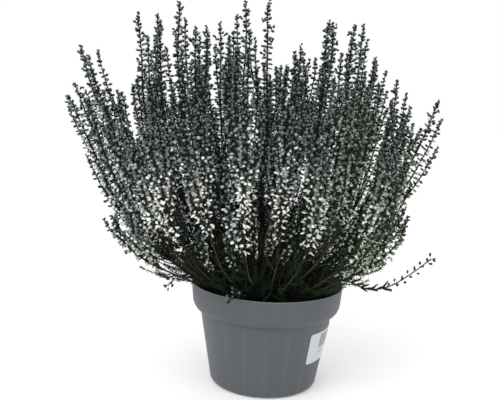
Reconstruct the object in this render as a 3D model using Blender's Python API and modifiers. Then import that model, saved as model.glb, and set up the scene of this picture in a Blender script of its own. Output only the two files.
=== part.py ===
"""A potted heather: a plastic nursery pot with soil and a blank label, upright sprays of buds that fan out
from the middle of the soil, and a few low leafy shoots that lean over the rim.

Metres, +Z up. The origin is the centre of the pot's foot. The label faces +X and a little towards -Y.
"""

import math

import bmesh
import bpy
from mathutils import Matrix, Vector

MM = 0.001
GAP = 0.3 * MM

# The corners of the stems sit on this grid
GRID = 0.001 * MM

# Pot
POT_HEIGHT = 88 * MM
RIM_RADIUS = 65 * MM
COLLAR_BOTTOM = 64 * MM
COLLAR_FOOT_RADIUS = 56.8 * MM
COLLAR_SIDE = 13 * MM
COLLAR_TAPER = 1.2 * MM
BASE_RADIUS = 46.4 * MM
BASE_CORNER = 5 * MM
WALL = 1.2 * MM
FOOT_RING_WIDTH = 4 * MM
HUB_RADIUS = 12 * MM
BASE_RECESS = 1.4 * MM
DRAIN_HOLES = 8
DRAIN_RADIUS = 4 * MM
DRAIN_CIRCLE = 26 * MM
TURN_STEPS = 36

# Soil
SOIL_TOP = 80 * MM
STEM_DEPTH = 5 * MM
STEM_FOOT = 2 * MM

# Label, which lies on the tapered wall
LABEL_ARC = 48 * MM
LABEL_HEIGHT = 27 * MM
LABEL_MIDDLE = 41.5 * MM
LABEL_TURN = math.radians(-22)
LABEL_THICKNESS = 0.4 * MM

# Sprays: the stem has three sides and carries whorls of three, each turned half a step from the last
SIDES = 3
STEM_RADIUS = 1.3 * MM
TIP_RADIUS = 0.8 * MM
BUD_LENGTH = 4.6 * MM
BUD_REACH = 5.4 * MM
TOP_BUD_REACH = 3.4 * MM
BUD_RISE = 1.4 * MM
BUD_SPACING = 13.2 * MM
LEAF_LENGTH = 3 * MM
LEAF_REACH = 2.4 * MM
TOP_LEAF_REACH = 4.8 * MM
LEAF_RISE = 2 * MM
LEAF_SPACING = 14 * MM
LEAFY_STEM = 56 * MM
TIP_LENGTH = 7 * MM
SHOOT_SPACING = 9 * MM
SHOOT_REACH = 3.2 * MM
ROOT_REACH = 2 * MM
ROOT_LENGTH = 20 * MM

# Where the sprays start: the tips' own places drawn in towards the middle of the crown
CROWN_MIDDLE = (-14 * MM, 0.0)
CROWN_SHIFT = (-4 * MM, 0.0)
CROWN_SHARE = 0.22
LOW_CROWN_SHARE = 0.27

# How a spray runs: one that leans far from this middle bends up more sharply and rises sooner, and one whose
# tip is far out goes a larger share of its way straight
LEAN_MIDDLE = -10 * MM
UPRIGHT_LEAN = 0.3
STEEP_LEAN = 1.0
UPRIGHT_BEND = 3.0
STEEP_BEND = 5.5
STEEP_LIFT = 0.15
NEAR_TIP = 120 * MM
FAR_TIP = 150 * MM
NEAR_STRAIGHT = 0.15
FAR_STRAIGHT = 0.5

# The low sprays lie lower over the rim and bend more evenly
LOW_TIP = 195 * MM
LOW_LEAN = 0.8
LOW_BEND = 2.0
LOW_EXTRA_BEND = 0.5
LOW_LIFT = 0.3

# The tips of the sprays, in millimetres, from left to right in each group
TALL_TIPS = (
    (-179, 38, 250), (-165, -38, 240), (-165, 5, 280), (-130, -66, 245), (-120, 20, 310), (-111, -93, 232),
    (-110, 65, 315), (-95, -25, 300), (-88, 100, 315), (-85, 10, 320), (-65, -50, 295), (-65, 60, 305),
    (-50, 15, 305), (-40, -30, 290), (-30, 30, 325), (-25, -75, 280), (-10, -15, 320), (5, 85, 275),
    (10, -55, 280), (20, 35, 290), (40, 0, 310), (45, -60, 280), (50, 70, 315), (60, -80, 265),
    (65, -20, 305), (65, 30, 310), (90, 65, 285), (100, 5, 265), (105, -45, 230), (124, 57, 242),
    (138, 14, 249),
)
FRONT_TIPS = ((-90, -115, 225), (-55, -110, 240), (-25, -115, 250), (5, -110, 245), (33, -118, 240), (80, -105, 220))
BACK_TIPS = (
    (-125, 95, 265), (-75, 130, 275), (-35, 115, 285), (5, 125, 270), (45, 115, 275), (80, 105, 265),
    (110, 90, 240),
)
LOW_TIPS = ((-139, -11, 170), (-138, 68, 185), (-118, -74, 152), (98, -78, 160), (109, 29, 174), (114, -14, 182))

# The routes of the low shoots, in millimetres, from the soil out over the rim
SHOOT_ROUTES = (
    ((42, -11, 82), (50, -13, 90), (64, -16, 96), (82, -18, 90), (100, -18, 92), (118, -17, 103), (136, -16, 118)),
    ((46, 12, 82), (56, 15, 91), (70, 18, 98), (88, 22, 97), (103, 24, 104)),
    ((-44, -16, 82), (-53, -19, 91), (-66, -24, 97), (-77, -28, 93), (-85, -31, 86)),
    ((-46, 15, 82), (-55, 18, 92), (-68, 22, 100), (-84, 27, 104), (-99, 32, 112)),
    ((-19, -46, 82), (-22, -56, 90.5), (-27, -67, 95), (-31, -78, 90)),
)
ROUTE_STEPS = 120


def between(value, low, high, first, last):
    """The value's place between low and high, carried over to first and last."""
    share = min(max((value - low) / (high - low), 0.0), 1.0)
    return first + (last - first) * share


def clear_scene():
    """Remove whatever the open file holds."""
    for item in list(bpy.data.objects):
        bpy.data.objects.remove(item, do_unlink=True)


def new_collection(name):
    """A collection linked to the scene."""
    collection = bpy.data.collections.new(name)
    bpy.context.scene.collection.children.link(collection)
    return collection


def new_material(name, colour, roughness):
    """A plain Principled material; nothing on this plant is metal."""
    material = bpy.data.materials.new(name)
    material.use_nodes = True
    shader = material.node_tree.nodes["Principled BSDF"]
    shader.inputs["Base Color"].default_value = (*colour, 1.0)
    shader.inputs["Roughness"].default_value = roughness
    shader.inputs["Metallic"].default_value = 0.0
    return material


def object_from(bm, name, collection, material=None):
    """Turn a bmesh into a named object in the collection."""
    mesh = bpy.data.meshes.new(name)
    bm.to_mesh(mesh)
    bm.free()
    item = bpy.data.objects.new(name, mesh)
    collection.objects.link(item)
    if material:
        mesh.materials.append(material)
    return item


def turned(name, profile, collection, material):
    """A solid of revolution: the profile (radius, height) runs down the outer side, and both ends are on the axis."""
    bm = bmesh.new()
    verts = [bm.verts.new((radius, 0, height)) for radius, height in profile]
    for first, second in zip(verts, verts[1:]):
        bm.edges.new((first, second))
    item = object_from(bm, name, collection, material)
    screw = item.modifiers.new("Turn", "SCREW")
    screw.axis = "Z"
    screw.angle = math.tau
    screw.steps = screw.render_steps = TURN_STEPS
    screw.use_merge_vertices = True
    screw.merge_threshold = 0.00001
    screw.use_smooth_shade = True
    return item


def cut(item, cutter):
    """Take the cutter away from the item."""
    boolean = item.modifiers.new("Cut", "BOOLEAN")
    boolean.operation = "DIFFERENCE"
    boolean.object = cutter
    cutter.hide_render = True
    cutter.display_type = "WIRE"


def arc(centre, radius, start, end, steps):
    """Points (radius, height) along an arc, both ends included, with angles in degrees."""
    angles = [math.radians(start + (end - start) * i / steps) for i in range(steps + 1)]
    return [(centre[0] + radius * math.cos(a), centre[1] + radius * math.sin(a)) for a in angles]


def wall_radius(height):
    """The outer radius of the tapered wall below the collar."""
    share = (height - BASE_CORNER) / (COLLAR_BOTTOM - BASE_CORNER)
    return BASE_RADIUS + (COLLAR_FOOT_RADIUS - BASE_RADIUS) * share


def shoulder(inset, steps):
    """The quarter ellipse that brings the collar's side in to the wall, drawn in by the inset."""
    width = RIM_RADIUS - COLLAR_TAPER - COLLAR_FOOT_RADIUS
    height = POT_HEIGHT - COLLAR_SIDE - COLLAR_BOTTOM
    angles = [math.pi / 2 * i / steps for i in range(steps + 1)]
    return [
        (COLLAR_FOOT_RADIUS - inset + width * math.cos(a), COLLAR_BOTTOM + height * (1 - math.sin(a)))
        for a in angles
    ]


def pot_outside():
    """The collar, the wall and the round edge of the base, from the rim down."""
    corner = arc((BASE_RADIUS - BASE_CORNER, BASE_CORNER), BASE_CORNER, 0, -90, 3)
    return [(RIM_RADIUS, POT_HEIGHT), *shoulder(0, 3), *corner]


def pot_inside():
    """The same shapes one wall thickness in, from the rim down to the floor."""
    floor = BASE_RECESS + WALL
    bend = floor + BASE_CORNER
    return [
        (RIM_RADIUS - WALL, POT_HEIGHT),
        *shoulder(WALL, 2),
        (wall_radius(bend) - WALL, bend),
        (BASE_RADIUS - BASE_CORNER, floor),
    ]


def pot_base():
    """The underside, from the foot ring in to the hub."""
    outer = BASE_RADIUS - BASE_CORNER
    inner = outer - FOOT_RING_WIDTH
    return [
        (inner, 0.0),
        (inner - BASE_RECESS, BASE_RECESS),
        (HUB_RADIUS + BASE_RECESS, BASE_RECESS),
        (HUB_RADIUS, 0.0),
        (0.0, 0.0),
    ]


def make_pot(parts, cutters, material):
    """The pot, with drain holes through the recessed part of its floor."""
    inside = list(reversed(pot_inside()))
    profile = [(0.0, inside[0][1]), *inside, *pot_outside(), *pot_base()]
    pot = turned("pot", profile, parts, material)
    bm = bmesh.new()
    for i in range(DRAIN_HOLES):
        turn = Matrix.Rotation(math.tau * (i + 0.5) / DRAIN_HOLES, 4, "Z")
        place = turn @ Matrix.Translation((DRAIN_CIRCLE, 0, BASE_RECESS))
        bmesh.ops.create_cone(
            bm, cap_ends=True, segments=8, radius1=DRAIN_RADIUS, radius2=DRAIN_RADIUS,
            depth=4 * WALL, matrix=place,
        )
    cut(pot, object_from(bm, "drain_holes", cutters))
    return pot


def make_soil(parts, cutters, material, stems):
    """The soil, clear of the pot all round, with a plain hole for each stem."""
    walls = [(radius - GAP, height) for radius, height in pot_inside()[1:-1]]
    top = (walls[0][0], SOIL_TOP)
    floor = BASE_RECESS + WALL + GAP
    profile = [(0.0, SOIL_TOP), top, *walls[:-1], (walls[-1][0], walls[-1][1] + GAP)]
    profile += [(BASE_RADIUS - BASE_CORNER - GAP, floor), (0.0, floor)]
    soil = turned("soil", profile, parts, material)
    depth = 2 * (STEM_DEPTH + GAP)
    hole_radius = STEM_RADIUS + 2 * GAP
    bm = bmesh.new()
    for place in stems:
        bmesh.ops.create_cone(
            bm, cap_ends=True, segments=SIDES, radius1=hole_radius, radius2=hole_radius,
            depth=depth, matrix=place,
        )
    cut(soil, object_from(bm, "stem_holes", cutters))
    return soil


def make_label(parts, material):
    """A blank sticker bent round the tapered wall."""
    bm = bmesh.new()
    bmesh.ops.create_grid(
        bm, x_segments=8, y_segments=2, size=0.5,
        matrix=Matrix.Diagonal((LABEL_ARC, LABEL_HEIGHT, 1, 1)),
    )
    for vert in bm.verts:
        height = LABEL_MIDDLE + vert.co.y
        radius = wall_radius(height) + GAP
        angle = LABEL_TURN + vert.co.x / wall_radius(LABEL_MIDDLE)
        vert.co = (radius * math.cos(angle), radius * math.sin(angle), height)
    label = object_from(bm, "label", parts, material)
    solid = label.modifiers.new("Thickness", "SOLIDIFY")
    solid.thickness = LABEL_THICKNESS
    solid.offset = 1.0
    return label


class Route:
    """A line through space that is read by the length along it."""

    def __init__(self, points):
        self.points = points
        self.marks = [0.0]
        for first, second in zip(points, points[1:]):
            self.marks.append(self.marks[-1] + (second - first).length)
        self.length = self.marks[-1]
        run = points[-1] - points[0]
        self.side = Vector((-run.y, run.x, 0)).normalized()

    def at(self, length):
        """The point at this length, and the direction of the line there."""
        length = min(max(length, 0.0), self.length)
        i = 1
        while self.marks[i] < length and i < len(self.marks) - 1:
            i += 1
        first, second = self.points[i - 1], self.points[i]
        share = (length - self.marks[i - 1]) / (self.marks[i] - self.marks[i - 1])
        return first.lerp(second, share), (second - first).normalized()

    def ring(self, length, radius, turn):
        """The corners of the stem's three-sided section at this length."""
        middle, along = self.at(length)
        side = (self.side - along * self.side.dot(along)).normalized()
        out = along.cross(side)
        angles = [turn + math.tau * i / SIDES for i in range(SIDES)]
        return [middle + radius * (math.cos(a) * side + math.sin(a) * out) for a in angles]


def spray_bend(tip):
    """How much of its way out a spray goes straight, how sharply it bends up, and how much sooner it rises."""
    reach = math.hypot(tip.x - LEAN_MIDDLE, tip.y)
    lean = reach / (tip.z - SOIL_TOP)
    if tip.z < LOW_TIP:
        return 0.0, LOW_BEND + between(lean, LOW_LEAN, LOW_LEAN + 1, 0, LOW_EXTRA_BEND), LOW_LIFT
    straight = between(reach, NEAR_TIP, FAR_TIP, NEAR_STRAIGHT, FAR_STRAIGHT)
    bend = between(lean, UPRIGHT_LEAN, STEEP_LEAN, UPRIGHT_BEND, STEEP_BEND)
    return straight, bend, between(lean, UPRIGHT_LEAN, STEEP_LEAN, 0, STEEP_LIFT)


def spray_route(tip):
    """A spray leans out of the crown and bends up to its tip."""
    tip = Vector(tip) * MM
    share = LOW_CROWN_SHARE if tip.z < LOW_TIP else CROWN_SHARE
    start = Vector((*CROWN_SHIFT, SOIL_TOP + STEM_FOOT))
    start += share * Vector((tip.x - CROWN_MIDDLE[0], tip.y - CROWN_MIDDLE[1], 0))
    straight, bend, lift = spray_bend(tip)
    points = []
    for i in range(ROUTE_STEPS + 1):
        u = i / ROUTE_STEPS
        out = straight * u + (1 - straight) * (1 - (1 - u) ** bend)
        up = u + lift * u * (1 - u)
        points.append(Vector((
            start.x + (tip.x - start.x) * out,
            start.y + (tip.y - start.y) * out,
            start.z + (tip.z - start.z) * up,
        )))
    return Route(points)


def shoot_route(corners):
    """A smooth line through the corners of a low shoot's way over the rim."""
    corners = [Vector(corner) * MM for corner in corners]
    ends = [2 * corners[0] - corners[1], *corners, 2 * corners[-1] - corners[-2]]
    points = []
    steps = ROUTE_STEPS // (len(corners) - 1)
    for before, first, second, after in zip(ends, ends[1:], ends[2:], ends[3:]):
        for i in range(steps):
            t = i / steps
            points.append(0.5 * (
                2 * first + (second - before) * t
                + (2 * before - 5 * first + 4 * second - after) * t ** 2
                + (3 * first - before - 3 * second + after) * t ** 3
            ))
    points.append(corners[-1])
    return Route(points)


def spray_whorls(route):
    """Each whorl of a spray as (middle, length, reach, rise): small leaves low down, then buds up to the tip."""
    whorls = []
    place = LEAF_SPACING
    while place < LEAFY_STEM:
        whorls.append((place, LEAF_LENGTH, between(place, 0, LEAFY_STEM, LEAF_REACH, TOP_LEAF_REACH), LEAF_RISE))
        place += LEAF_SPACING
    last = route.length - TIP_LENGTH
    count = round((last - LEAFY_STEM) / BUD_SPACING)
    for i in range(count + 1):
        place = LEAFY_STEM + (last - LEAFY_STEM) * i / count
        reach = between(place, last - 3 * BUD_SPACING, last, BUD_REACH, TOP_BUD_REACH)
        whorls.append((place, BUD_LENGTH, reach, BUD_RISE))
    return whorls


def shoot_whorls(route):
    """The whorls of small leaves along a low shoot."""
    last = route.length - TIP_LENGTH
    count = round(last / SHOOT_SPACING)
    places = [last * i / count for i in range(1, count + 1)]
    reaches = [between(place, 0, ROOT_LENGTH, ROOT_REACH, SHOOT_REACH) for place in places]
    return [(place, LEAF_LENGTH, reach, LEAF_RISE) for place, reach in zip(places, reaches)]


def extrude_end(bm, end, corners):
    """Grow the stem by its end face, whose corners move to the given places."""
    end = bmesh.ops.extrude_discrete_faces(bm, faces=[end])["faces"][0]
    for vert, corner in zip(end.verts, corners):
        vert.co = corner
    sides = {face for edge in end.edges for face in edge.link_faces if face is not end}
    return end, list(sides)


def root_place(route):
    """Where a stem goes into the soil, turned so that a corner of its foot faces the route's side."""
    start = route.points[0]
    turn = math.atan2(route.side.y, route.side.x) - math.pi / 2
    return Matrix.Translation((start.x, start.y, SOIL_TOP)) @ Matrix.Rotation(turn, 4, "Z")


def first_turn(route, end):
    """The turn that puts the first corner of a ring over the first corner of the foot's end face."""
    corner = end.verts[0].co
    turns = [math.tau * i / SIDES for i in range(SIDES)]
    return min(turns, key=lambda turn: (route.ring(0.0, STEM_RADIUS, turn)[0] - corner).length)


def raise_points(bm, quads, axis, reach, rise):
    """Draw each side of the stem out to a point that stands clear of the axis and leans along it."""
    middle, along = axis
    for vert in bmesh.ops.poke(bm, faces=quads)["verts"]:
        out = vert.co - middle
        out -= along * out.dot(along)
        vert.co = middle + reach * out.normalized() + rise * along


def grow_stem(name, route, whorls, collection, material):
    """A rooted stem: an upright foot in the soil, then whorls joined by lengths that turn half a step."""
    half_turn = math.pi / SIDES
    bm = bmesh.new()
    foot = root_place(route)
    bmesh.ops.create_cone(
        bm, cap_ends=True, segments=SIDES, radius1=STEM_RADIUS, radius2=STEM_RADIUS,
        depth=STEM_DEPTH + STEM_FOOT, matrix=foot @ Matrix.Translation((0, 0, (STEM_FOOT - STEM_DEPTH) / 2)),
    )
    bm.faces.ensure_lookup_table()
    end = max(bm.faces, key=lambda face: face.calc_center_median().z)
    turn = first_turn(route, end)
    for middle, length, reach, rise in whorls:
        radius = between(middle, 0, route.length, STEM_RADIUS, TIP_RADIUS)
        below = route.ring(middle - length / 2, radius, turn)
        end, _ = extrude_end(bm, end, below)
        above = route.ring(middle + length / 2, radius, turn)
        end, quads = extrude_end(bm, end, above)
        raise_points(bm, quads, route.at(middle), reach, rise)
        turn += half_turn
    end, _ = extrude_end(bm, end, route.ring(route.length, TIP_RADIUS / 2, turn))
    bmesh.ops.pointmerge(bm, verts=list(end.verts), merge_co=route.points[-1])
    bmesh.ops.triangulate(bm, faces=bm.faces[:])
    for vert in bm.verts:
        vert.co = [round(value / GRID) * GRID for value in vert.co]
    return object_from(bm, name, collection, material)


def main():
    clear_scene()
    parts = new_collection("potted_heather")
    cutters = new_collection("cutters")
    plastic = new_material("pot_plastic", (0.115, 0.130, 0.150), 0.45)
    earth = new_material("soil", (0.012, 0.010, 0.009), 0.95)
    paper = new_material("label_film", (0.62, 0.64, 0.68), 0.4)
    buds = new_material("buds", (0.28, 0.33, 0.29), 0.7)
    leaves = new_material("leaves", (0.035, 0.055, 0.030), 0.8)
    make_pot(parts, cutters, plastic)
    make_label(parts, paper)
    sprays = [spray_route(tip) for tip in TALL_TIPS + FRONT_TIPS + BACK_TIPS + LOW_TIPS]
    shoots = [shoot_route(corners) for corners in SHOOT_ROUTES]
    make_soil(parts, cutters, earth, [root_place(route) for route in sprays + shoots])
    for number, route in enumerate(sprays, 1):
        grow_stem(f"spray_{number:02d}", route, spray_whorls(route), parts, buds)
    for number, route in enumerate(shoots, 1):
        grow_stem(f"low_shoot_{number}", route, shoot_whorls(route), parts, leaves)


main()
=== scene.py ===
"""The looks of a potted heather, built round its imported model.

Laid out as an add-on and run as a script: each operator makes one piece, or a group of like pieces, from the
sizes and colours in the sidebar panel. Metres, +Z up; the origin is the centre of the pot's foot.
"""

import math

import bmesh
import bpy
import numpy as np
from bpy.props import FloatProperty, FloatVectorProperty, IntProperty, PointerProperty
from mathutils import Matrix, Vector, noise


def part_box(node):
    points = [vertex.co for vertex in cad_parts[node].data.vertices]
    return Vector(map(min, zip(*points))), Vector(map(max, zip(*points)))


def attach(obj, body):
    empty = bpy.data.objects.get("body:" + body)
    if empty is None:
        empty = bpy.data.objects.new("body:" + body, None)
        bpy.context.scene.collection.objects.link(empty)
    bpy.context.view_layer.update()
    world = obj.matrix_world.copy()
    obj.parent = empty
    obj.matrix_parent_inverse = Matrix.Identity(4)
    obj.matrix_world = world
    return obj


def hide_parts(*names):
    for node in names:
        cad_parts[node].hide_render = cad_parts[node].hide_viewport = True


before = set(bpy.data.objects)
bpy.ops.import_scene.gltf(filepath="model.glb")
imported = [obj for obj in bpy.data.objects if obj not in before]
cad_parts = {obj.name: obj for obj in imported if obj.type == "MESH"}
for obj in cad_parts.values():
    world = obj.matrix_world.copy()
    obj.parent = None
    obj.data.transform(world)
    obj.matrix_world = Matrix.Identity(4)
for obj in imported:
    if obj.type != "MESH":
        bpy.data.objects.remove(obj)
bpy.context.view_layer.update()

bl_info = {
    "name": "Potted heather",
    "version": (1, 0, 0),
    "blender": (4, 5, 0),
    "location": "View3D > Sidebar > Heather",
    "description": "Grows the bud sprays, twigs, soil and pot of a potted heather round its packed model",
    "category": "Add Mesh",
}

MM = 0.001
BODY = "root"
SPRAY_NODES = sorted(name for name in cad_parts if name.startswith("spray_"))
POT_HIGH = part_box("pot")[1]
SOIL_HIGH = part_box("soil")[1]
LABEL_LOW, LABEL_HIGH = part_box("label")

# The lines of the sprays, by the model's rule: each starts near the crown's middle and bends up to its tip
CROWN_MIDDLE = -14 * MM
CROWN_SHIFT = -4 * MM
CROWN_SHARE = 0.22
LOW_CROWN_SHARE = 0.27
LEAN_MIDDLE = -10 * MM
UPRIGHT_LEAN = 0.3
STEEP_LEAN = 1.0
UPRIGHT_BEND = 3.0
STEEP_BEND = 5.5
STEEP_LIFT = 0.15
NEAR_TIP = 120 * MM
FAR_TIP = 150 * MM
NEAR_STRAIGHT = 0.15
FAR_STRAIGHT = 0.5
LOW_TIP = 195 * MM
LOW_LEAN = 0.8
LOW_BEND = 2.0
LOW_EXTRA_BEND = 0.5
LOW_LIFT = 0.3
STEM_FOOT = 2 * MM

# How far the foot of a drawn stem reaches down from the start of its line, into the soil
STEM_DEPTH = 4 * MM

# The routes of the low shoots, in millimetres, as in the model
SHOOT_ROUTES = (
    ((42, -11, 82), (50, -13, 90), (64, -16, 96), (82, -18, 90), (100, -18, 92), (118, -17, 103),
     (136, -16, 118)),
    ((46, 12, 82), (56, 15, 91), (70, 18, 98), (88, 22, 97), (103, 24, 104)),
    ((-44, -16, 82), (-53, -19, 91), (-66, -24, 97), (-77, -28, 93), (-85, -31, 86)),
    ((-46, 15, 82), (-55, 18, 92), (-68, 22, 100), (-84, 27, 104), (-99, 32, 112)),
    ((-19, -46, 82), (-22, -56, 90.5), (-27, -67, 95), (-31, -78, 90)),
)

# Every grown shape is coloured by its place on one map: across it lie the stem, leaf and bud bands, each
# from base to tip, and up it goes the shade, from dark to pale
STEM_BAND = (0.02, 0.18)
LEAF_BAND = (0.24, 0.42)
BUD_BAND = (0.50, 0.98)
SHADE_SPREAD = 0.006

# What each group of pieces adds to the seed in the panel, for random draws of its own
SPRAY_SEED = 100
SHOOT_SEED = 300
UNDERGROWTH_SEED = 400
INNER_SEED = 500

# How buds change along a spray: lengths from its tip or its first buds, and shares of a full bud's size
FULL_RUN = 95 * MM
TIP_RUN = 16 * MM
TIP_SIZE = 0.62
YOUNG_LENGTH = 0.58
LENGTH_GAIN = 0.42
YOUNG_WIDTH = 1.65
WIDTH_LOSS = 0.65
FULL_SHAPE_SHARE = 0.62
OPENING_RUN = 24 * MM
DROOP_START = 40 * MM
DROOP_RUN = 50 * MM
FIRST_RUN = 12 * MM
FIRST_SIZE = 0.72

# Where buds are pale: below a height and outside a share of the plant's half width, each with its run
PALE_TOP = 270 * MM
PALE_RUN = 100 * MM
# Within this share of the plant's half width, buds are darkened as painted shade
SHADED_SHARE = 0.50
OPEN_RUN = 0.42

# The plant's half width: at the soil, its gain with height, and at most
PLANT_FOOT = 26 * MM
PLANT_GAIN = 0.62
PLANT_EDGE = 105 * MM

# How green a spray is: at the middle, its gain to the right, its loss upwards, and in how many steps
GREEN_SHARE = 0.25
GREEN_GAIN = 0.55
GREEN_REACH = 150 * MM
GREEN_HEIGHT = 250 * MM
GREEN_DROP = 220 * MM
GREEN_CHANCE = 0.22
GREEN_STEPS = 3

# How many buds or stalks stand in one whorl
BUDS_ROUND = 3

# The lumps of young buds on the upper part of a spray
CLUSTER_RUN = 100 * MM
CLUSTER_STEP = 5.6 * MM
CLUSTER_BUDS = 3

# Sprays that lean less than this bear their side spikes mostly outwards
OUTWARD_LEAN = 0.7

# The plain marks on the sticker: their left, right, low and high edges, from its middle
LABEL_BLOCK = (-9 * MM, 7 * MM, -1 * MM, 11.5 * MM)
LABEL_BAND = (-9 * MM, -1 * MM, -6 * MM, -4 * MM)

# The colours of a green spray's leaves and stem, and of dry bark and peat fibre
GREEN_LEAF = (0.020, 0.038, 0.013)
GREEN_STEM = (0.15, 0.18, 0.075)
DRY_BARK = (0.03, 0.022, 0.014)
DRY_FIBRE = (0.045, 0.032, 0.022)

# The studio, in metres
KEY_PLACE = (-0.9, -1.1, 1.3)
KEY_SIZE = 1.2
FILL_PLACE = (1.2, -0.9, 0.7)
FILL_SIZE = 1.0
LIGHT_AIM = (0, 0, 0.15)
FLOOR_RADIUS = 6.0

GOLDEN_ANGLE = math.pi * (3 - math.sqrt(5))


def length_of(name, description, default):
    """A length for the panel."""
    return FloatProperty(name=name, description=description, default=default, unit="LENGTH")


def number_of(name, description, default, least=0):
    """A whole number for the panel."""
    return IntProperty(name=name, description=description, default=default, min=least)


def colour_of(name, description, default):
    """A linear colour for the panel."""
    return FloatVectorProperty(name=name, description=description, default=default, subtype="COLOR")


class PotSizes(bpy.types.PropertyGroup):
    """The turned shapes of the pot and its soil."""

    rim_radius: length_of("Rim radius", "Outer radius at the top", POT_HIGH.x)
    height: length_of("Height", "From the foot to the rim", POT_HIGH.z)
    collar_bottom: length_of("Collar bottom", "Height of the step under the collar", 64 * MM)
    collar_foot: length_of("Collar foot", "Radius of the wall under the collar", 56.8 * MM)
    collar_side: length_of("Collar side", "Height of the collar's straight side", 13 * MM)
    collar_taper: length_of("Collar taper", "How far the straight side draws in", 1.2 * MM)
    base_radius: length_of("Base radius", "Radius above the round bottom edge", 46.4 * MM)
    corner: length_of("Bottom edge", "Radius of the round bottom edge", 5 * MM)
    wall: length_of("Wall", "Thickness of the plastic", 1.2 * MM)
    recess: length_of("Recess", "How far the floor stands above the foot", 1.4 * MM)
    hub: length_of("Hub", "Radius of the flat in the middle of the base", 12 * MM)
    foot_width: length_of("Foot width", "Width of the ring that the pot stands on", 4 * MM)
    drain_radius: length_of("Drain hole", "Radius of a drain hole", 4 * MM)
    drain_circle: length_of("Drain circle", "Radius of the ring of drain holes", 26 * MM)
    drain_count: number_of("Drain holes", "How many drain holes", 8, least=1)
    soil_top: length_of("Soil top", "Height of the soil", SOIL_HIGH.z)
    crumbs: number_of("Crumbs", "How many loose crumbs lie on the soil", 420)


class LabelSizes(bpy.types.PropertyGroup):
    """The blank sticker on the pot's wall."""

    arc: length_of("Arc", "Length round the wall", 48 * MM)
    height: length_of("Height", "Height of the sticker", 27 * MM)
    middle: length_of("Middle", "Height of its middle", (LABEL_LOW.z + LABEL_HIGH.z) / 2)
    turn: FloatProperty(
        name="Turn", description="Its direction from +X", default=math.radians(-22), subtype="ANGLE")
    thickness: length_of("Thickness", "Film thickness", 0.25 * MM)
    corner: length_of("Corner", "Radius of its corners", 2.2 * MM)


class GrowthSizes(bpy.types.PropertyGroup):
    """The repeats that the plant is made of."""

    seed: number_of("Seed", "Starts the plant's random draws", 11)
    stem_radius: length_of("Stem radius", "Radius of a stem at the soil", 0.95 * MM)
    stem_tip: length_of("Stem tip", "Radius of a stem under its tip", 0.38 * MM)
    bud_length: length_of("Bud length", "A full bud with its stalk", 6.3 * MM)
    bud_width: length_of("Bud width", "Widest part of a bud", 1.8 * MM)
    bud_step: length_of("Bud step", "From one whorl of buds to the next", 4.2 * MM)
    leafy_core: length_of("Leafy core", "How much pressed leaves thicken a stem among the buds", 0.5 * MM)
    leaf_length: length_of("Leaf length", "A scale leaf", 3.2 * MM)
    leaf_width: length_of("Leaf width", "Widest part of a leaf", 1.1 * MM)
    leaf_step: length_of("Leaf step", "From one whorl of leaves to the next", 2.1 * MM)
    bud_start: length_of("First buds", "Height over the soil where an upright spray's buds start", 60 * MM)
    low_bud_start: length_of("Lowest buds", "The same for a spray that leans far to a side", 26 * MM)
    twigs: number_of("Twigs", "Leafy twigs low on each spray", 11)
    side_spikes: number_of("Side spikes", "Most side spikes on a spray", 7)
    undergrowth: number_of("Undergrowth", "Short leafy branches that spread over the soil", 40)
    inner_branches: number_of("Inner branches", "Leafy branches that fill the middle of the plant", 64)


class Colours(bpy.types.PropertyGroup):
    """The main colours, linear."""

    pale_bud: colour_of("Pale bud", "Open part of a full bud", (0.92, 0.96, 0.91))
    dark_bud: colour_of("Dark bud", "Young bud near a tip", (0.046, 0.061, 0.061))
    green_bud: colour_of("Green bud", "Full bud on a green spray", (0.50, 0.60, 0.42))
    leaf: colour_of("Leaf", "Scale leaves", (0.0062, 0.0112, 0.0088))
    stem: colour_of("Stem", "Woody stems", (0.13, 0.115, 0.075))
    pot: colour_of("Pot", "Plastic", (0.074, 0.080, 0.089))
    label: colour_of("Label", "Film", (0.50, 0.515, 0.555))
    soil: colour_of("Soil", "Peat", (0.0055, 0.0052, 0.005))
    floor: colour_of("Floor", "Studio floor", (0.92, 0.92, 0.92))


class StageSizes(bpy.types.PropertyGroup):
    """The camera, whose place was found from the pot's rim, shoulder and base, and the light."""

    camera: FloatVectorProperty(
        name="Camera", description="Place of the camera", subtype="TRANSLATION",
        default=(-18.15 * MM, -600.7 * MM, 249.1 * MM))
    pitch: FloatProperty(name="Pitch", description="Tilt down", default=-0.151, subtype="ANGLE")
    roll: FloatProperty(name="Roll", description="Turn about the view", default=0.047, subtype="ANGLE")
    lens: FloatProperty(name="Lens", description="Focal length in millimetres", default=51.49, unit="CAMERA")
    sky: FloatProperty(name="Sky", description="Strength of the white surround", default=1.0)
    key: FloatProperty(name="Key light", description="Power in watts", default=14.0, unit="POWER")
    fill: FloatProperty(name="Fill light", description="Power in watts", default=3.0, unit="POWER")


class HeatherSettings(bpy.types.PropertyGroup):
    """All of the plant's settings."""

    pot: PointerProperty(type=PotSizes)
    label: PointerProperty(type=LabelSizes)
    growth: PointerProperty(type=GrowthSizes)
    colours: PointerProperty(type=Colours)
    stage: PointerProperty(type=StageSizes)


class Value:
    """A number that a shader works out, written in sums as an ordinary one is."""

    def __init__(self, finish, socket):
        self.finish = finish
        self.socket = socket

    def sum(self, operation, first, second):
        return self.finish.maths(operation, first, second)

    def __add__(self, other):
        return self.sum("ADD", self, other)

    def __radd__(self, other):
        return self.sum("ADD", other, self)

    def __sub__(self, other):
        return self.sum("SUBTRACT", self, other)

    def __rsub__(self, other):
        return self.sum("SUBTRACT", other, self)

    def __mul__(self, other):
        return self.sum("MULTIPLY", self, other)

    def __rmul__(self, other):
        return self.sum("MULTIPLY", other, self)

    def __truediv__(self, other):
        return self.sum("DIVIDE", self, other)

    def __rtruediv__(self, other):
        return self.sum("DIVIDE", other, self)

    def __gt__(self, other):
        return self.sum("GREATER_THAN", self, other)

    def __lt__(self, other):
        return self.sum("LESS_THAN", self, other)


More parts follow.
